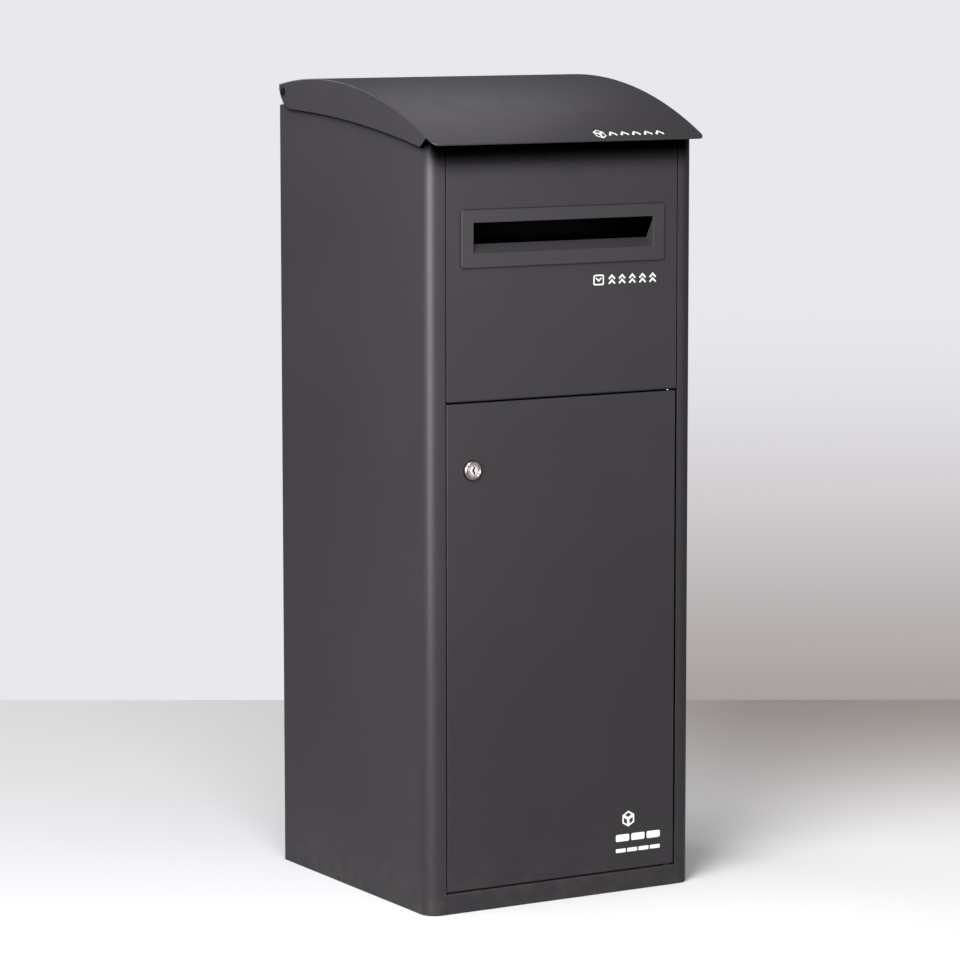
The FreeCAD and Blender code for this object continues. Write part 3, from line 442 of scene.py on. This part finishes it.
def ink(name, marks, place, body):
    """Thin raised ink. Each mark is a set of flat cells sharing corners, closed into one skin."""
    bm = bmesh.new()
    for cells in marks:
        corners = {}

        def corner(point, lift):
            key = (round(point[0], 7), round(point[1], 7), lift)
            if key not in corners:
                corners[key] = bm.verts.new(place(point[0], point[1], lift))
            return corners[key]

        sides = set()
        for cell in cells:
            loop = [(round(u, 7), round(v, 7)) for u, v in cell]
            bm.faces.new([corner(point, INK_LIFT + INK_THICK) for point in loop])
            bm.faces.new([corner(point, INK_LIFT) for point in loop[::-1]])
            sides |= set(zip(loop, loop[1:] + loop[:1]))
        for start, end in sorted(sides):
            if (end, start) not in sides:
                bm.faces.new([
                    corner(end, INK_LIFT + INK_THICK),
                    corner(start, INK_LIFT + INK_THICK),
                    corner(start, INK_LIFT),
                    corner(end, INK_LIFT),
                ])
    return piece(name, bm, "printed_white", body)


def on_front(x, z):
    """Places ink on the front plane, from the point (x, z)."""
    return lambda u, v, lift: Vector((x + u, FRONT_Y - lift, z + v))


def envelope(size):
    """Closed envelope: a rounded outline with a flap standing clear inside it."""
    half_w, half_h = size * 0.5, size * 0.42
    line = size * 0.12
    outline = stroke(rounded_rectangle(-half_w, half_w, -half_h, half_h, size * 0.12), line, True)
    flap = stroke([(-size * 0.3, size * 0.2), (0, -size * 0.08), (size * 0.3, size * 0.2)], line)
    return [outline, flap]


def carton(size, line_share):
    """Carton seen from a corner: three outlined faces with a gap between them."""
    line = size * line_share
    inset = 0.8
    radius = size / 2
    corners = arc_points((0, 0), radius, 90, -210, 5)
    marks = []
    for i in (1, 3, 5):
        face = [(0.0, 0.0), corners[i], corners[(i + 1) % 6], corners[(i + 2) % 6]]
        middle_u = sum(u for u, v in face) / 4
        middle_v = sum(v for u, v in face) / 4
        face = [(middle_u + (u - middle_u) * inset, middle_v + (v - middle_v) * inset) for u, v in face]
        marks.append(stroke(face, line, True))
    return marks


def chevrons(start, step, count, size, rows):
    """Rows of small chevrons pointing up; each row is a height in chevron sizes."""
    marks = []
    for i in range(count):
        u = start + i * step
        for row in rows:
            dv = row * size
            low, high = dv - size * 0.22, dv + size * 0.2
            marks.append(stroke([(u - size * 0.42, low), (u, high), (u + size * 0.42, low)], size * 0.2))
    return marks


def block(x0, x1, y0, y1):
    """Solid mark with small rounded corners."""
    return [rounded_rectangle(x0, x1, y0, y1, min(x1 - x0, y1 - y0) * 0.22)]


def on_lid(x, y):
    """Places ink on the lid's arc, around the point (x, y); up on the mark is away from the lip."""
    middle = math.asin((y - LID_AXIS_Y) / LID_RADIUS)

    def place(u, v, lift):
        turn = middle + v / LID_RADIUS
        radius = LID_RADIUS + lift
        return Vector((x + u, LID_AXIS_Y + radius * math.sin(turn), LID_AXIS_Z + radius * math.cos(turn)))

    return place


def stretched_up(marks, factor):
    """Marks made taller, for a surface that is seen at a shallow angle."""
    return [[[(u, v * factor) for u, v in cell] for cell in cells] for cells in marks]


ink("letter_pictogram", envelope(13.6 * MM), on_front(51.2 * MM, LETTER_MARK_Z), "cabinet")
letter_chevrons = chevrons(0, 15.0 * MM, 5, 10.4 * MM, (-0.28, 0.28))
ink("letter_chevrons", letter_chevrons, on_front(70.5 * MM, LETTER_MARK_Z), "cabinet")

ink("parcel_pictogram", stretched_up(carton(16.4 * MM, 0.075), 1.3), on_lid(48.0 * MM, LID_MARK_Y), "lid")
parcel_chevrons = stretched_up(chevrons(0, 17.1 * MM, 5, 13.0 * MM, (0,)), 1.3)
ink("parcel_chevrons", parcel_chevrons, on_lid(66.0 * MM, LID_MARK_Y), "lid")

ink("door_pictogram", carton(20.0 * MM, 0.1), on_front(97.8 * MM, 92.0 * MM), "door")
wide_row = [block(i * 23.0 * MM, i * 23.0 * MM + 20.0 * MM, 0, 9.0 * MM) for i in range(3)]
narrow_row = [block(i * 17.0 * MM, i * 17.0 * MM + 15.0 * MM, 0, 5.0 * MM) for i in range(4)]
ink("door_wide_row", wide_row, on_front(DOOR_MARK_X, 63.6 * MM), "door")
ink("door_narrow_row", narrow_row, on_front(DOOR_MARK_X, 49.4 * MM), "door")


# ---- Stage, light and camera ----


def camera():
    """Camera at the bearing and distance named at the top."""
    data = bpy.data.cameras.new("camera")
    data.lens = LENS
    data.sensor_width = SENSOR
    data.clip_end = 100
    thing = bpy.data.objects.new("camera", data)
    bpy.context.scene.collection.objects.link(thing)
    aim = Vector((0, 0, AIM_HEIGHT)) + ACROSS * AIM_ACROSS
    thing.rotation_mode = "QUATERNION"
    thing.location = aim + BACK * DISTANCE
    turn = (-BACK).to_track_quat("-Z", "Y")
    thing.rotation_quaternion = turn @ Matrix.Rotation(ROLL, 4, "Z").to_quaternion()
    bpy.context.scene.camera = thing


def floor():
    """Pale floor cut off in a line behind the box and dimmer towards it, with painted light on its right
    side, painted shade towards the camera and a painted shadow far back on the right.
    """
    bm = bmesh.new()
    far = -TOWARDS * FLOOR_BEHIND
    near = TOWARDS * FLOOR_REACH
    side = ACROSS * FLOOR_REACH
    corners = [far - side, far + side, near + side, near - side]
    bm.faces.new([bm.verts.new((c.x, c.y, -FLOOR_DROP)) for c in corners])
    mesh = bpy.data.meshes.new("floor")
    bm.to_mesh(mesh)
    bm.free()
    s = Shader("floor_painted_shade")
    s.set(Specular_IOR_Level=0.1)

    def along(axis, low, high):
        node = s.add("ShaderNodeVectorMath", operation="DOT_PRODUCT")
        node.inputs[1].default_value = axis
        s.link(s.coordinates, node.inputs[0])
        ramp = s.add("ShaderNodeMapRange", interpolation_type="SMOOTHSTEP")
        ramp.inputs["From Min"].default_value = low
        ramp.inputs["From Max"].default_value = high
        s.link(node.outputs["Value"], ramp.inputs["Value"])
        return ramp.outputs["Result"]

    depth = along(-TOWARDS, 0.1, 1.3)
    right = along(ACROSS, -0.05, 0.45)
    floor_and_painted_shade = s.mix(s.ranged(s.noise(0.6, 2.0), 0.3, 0.7), (0.585, 0.585, 0.60), (0.605, 0.602, 0.615))
    # Painted light: the floor grows lighter to the right, where it lifts the box's cast shadow.
    floor_and_painted_shade = s.mix(along(ACROSS, 0.5, -0.5), (0.74, 0.73, 0.735), floor_and_painted_shade)
    # Painted shade: darker towards the camera, and back to the plain tone towards the far line.
    floor_and_painted_shade = s.mix(along(TOWARDS, 0.3, 1.2), floor_and_painted_shade, (0.48, 0.486, 0.497))
    floor_and_painted_shade = s.mix(depth, floor_and_painted_shade, (0.59, 0.59, 0.59))
    # Painted shadow of the box, far back on the right.
    floor_and_painted_shade = s.mix(s.math("MULTIPLY", depth, right), floor_and_painted_shade, (0.345, 0.302, 0.284))
    # To rays other than the camera's the floor is dark, so it gives back far less light than it shows.
    bounce = s.math("SUBTRACT", 1.0, s.add("ShaderNodeLightPath").outputs["Is Camera Ray"])
    s.colour(s.mix(s.math("MULTIPLY", bounce, 0.55), floor_and_painted_shade, (0.06, 0.06, 0.06)))
    s.roughness(s.ranged(s.noise(0.2, 3.0), 0.3, 0.7, 0.65, 0.8))
    mesh.materials.append(s.material)
    thing = bpy.data.objects.new("floor", mesh)
    bpy.context.scene.collection.objects.link(thing)


def area(name, location, target, size, power, size_y=None):
    """Softbox at one place, aimed at another."""
    data = bpy.data.lights.new(name, "AREA")
    data.energy = power
    data.size = size
    if size_y is not None:
        data.shape = "RECTANGLE"
        data.size_y = size_y
    thing = bpy.data.objects.new(name, data)
    bpy.context.scene.collection.objects.link(thing)
    thing.location = location
    direction = Vector(target) - Vector(location)
    thing.rotation_mode = "QUATERNION"
    thing.rotation_quaternion = direction.to_track_quat("-Z", "Y")
    return thing


def sun(name, azimuth, elevation, strength, softness):
    """Broad daylight from one direction; azimuth 0 is in front of the box, negative to its left."""
    data = bpy.data.lights.new(name, "SUN")
    data.energy = strength
    data.angle = math.radians(softness)
    thing = bpy.data.objects.new(name, data)
    bpy.context.scene.collection.objects.link(thing)
    a, e = math.radians(azimuth), math.radians(elevation)
    away = Vector((math.sin(a) * math.cos(e), -math.cos(a) * math.cos(e), math.sin(e)))
    thing.rotation_mode = "QUATERNION"
    thing.rotation_quaternion = away.to_track_quat("Z", "Y")


def world():
    """Pale backdrop with a painted shadow low on the right behind the box; it lights the box less than it
    shows.
    """
    sky = bpy.data.worlds.new("studio")
    bpy.context.scene.world = sky
    sky.use_nodes = True
    tree = sky.node_tree
    tree.nodes.clear()

    def add(kind, **values):
        node = tree.nodes.new(kind)
        for name, value in values.items():
            setattr(node, name, value)
        return node

    direction = add("ShaderNodeTexCoord").outputs["Generated"]

    def along(axis):
        node = add("ShaderNodeVectorMath", operation="DOT_PRODUCT")
        node.inputs[1].default_value = axis
        tree.links.new(direction, node.inputs[0])
        return node.outputs["Value"]

    def ranged(value, low, high):
        node = add("ShaderNodeMapRange", interpolation_type="SMOOTHSTEP")
        node.inputs["From Min"].default_value = low
        node.inputs["From Max"].default_value = high
        tree.links.new(value, node.inputs["Value"])
        return node.outputs["Result"]

    # Painted shadow: a warm darker patch low on the right, behind the box.
    across = ranged(along(ACROSS), -0.02, 0.05)
    down = ranged(along(Vector((0, 0, 1))), -0.08, -0.20)
    behind = ranged(along(-TOWARDS), 0.93, 0.965)
    corner = add("ShaderNodeMath", operation="MULTIPLY")
    tree.links.new(across, corner.inputs[0])
    tree.links.new(down, corner.inputs[1])
    painted_shadow_patch = add("ShaderNodeMath", operation="MULTIPLY")
    tree.links.new(corner.outputs[0], painted_shadow_patch.inputs[0])
    tree.links.new(behind, painted_shadow_patch.inputs[1])
    tint = add("ShaderNodeMix", data_type="RGBA")
    tree.links.new(painted_shadow_patch.outputs[0], tint.inputs[0])
    tint.inputs[6].default_value = (0.815, 0.805, 0.845, 1)
    tint.inputs[7].default_value = (0.365, 0.328, 0.312, 1)
    shown = add("ShaderNodeBackground")
    tree.links.new(tint.outputs[2], shown.inputs["Color"])
    lighting = add("ShaderNodeBackground")
    lighting.inputs["Color"].default_value = (1.0, 0.985, 1.0, 1)
    strength = add("ShaderNodeMapRange", interpolation_type="SMOOTHSTEP")
    strength.inputs["From Min"].default_value = -0.15
    strength.inputs["From Max"].default_value = 0.8
    strength.inputs["To Min"].default_value = AMBIENT[0]
    strength.inputs["To Max"].default_value = AMBIENT[1]
    tree.links.new(along(Vector((0, 0, 1))), strength.inputs["Value"])
    shaded = ranged(along(LID_MIRROR), 0.45, 0.97)
    share = add("ShaderNodeMapRange")
    share.inputs["To Min"].default_value = 1.0
    share.inputs["To Max"].default_value = LID_MIRROR_SHARE
    tree.links.new(shaded, share.inputs["Value"])
    dimmed = add("ShaderNodeMath", operation="MULTIPLY")
    tree.links.new(strength.outputs["Result"], dimmed.inputs[0])
    tree.links.new(share.outputs["Result"], dimmed.inputs[1])
    tree.links.new(dimmed.outputs[0], lighting.inputs["Strength"])
    choose = add("ShaderNodeMixShader")
    tree.links.new(add("ShaderNodeLightPath").outputs["Is Camera Ray"], choose.inputs[0])
    tree.links.new(lighting.outputs[0], choose.inputs[1])
    tree.links.new(shown.outputs[0], choose.inputs[2])
    tree.links.new(choose.outputs[0], add("ShaderNodeOutputWorld").inputs["Surface"])


camera()
floor()
world()
sun("key", -62, 48, 1.6, 85)
area("corner_box", (-1.95, -1.6, 1.15), (0, 0, 0.85), 1.6, 69.0, size_y=1.2)
area("side_front_box", (-0.82, -0.58, 0.62), (-0.19, -0.1, 0.6), 0.3, 3.4, size_y=0.7)
area("front_box", (1.1, -2.9, 0.8), (0, 0, 0.4), 1.6, 11.0)
area("lid_box", (-0.5, -0.72, 1.42), (-0.2, -0.2, 1.0), 0.3, 8.0)
area("rim_box", (-1.1, 2.2, 1.9), (-0.1, 0.0, 1.0), 0.7, 18.0)
panel = area("lid_panel", (0.25, 0.34, 1.5), (-0.05, -0.12, 1.0), 0.36, 0.36)
panel.visible_camera = False
bpy.context.scene.view_settings.view_transform = "Standard"
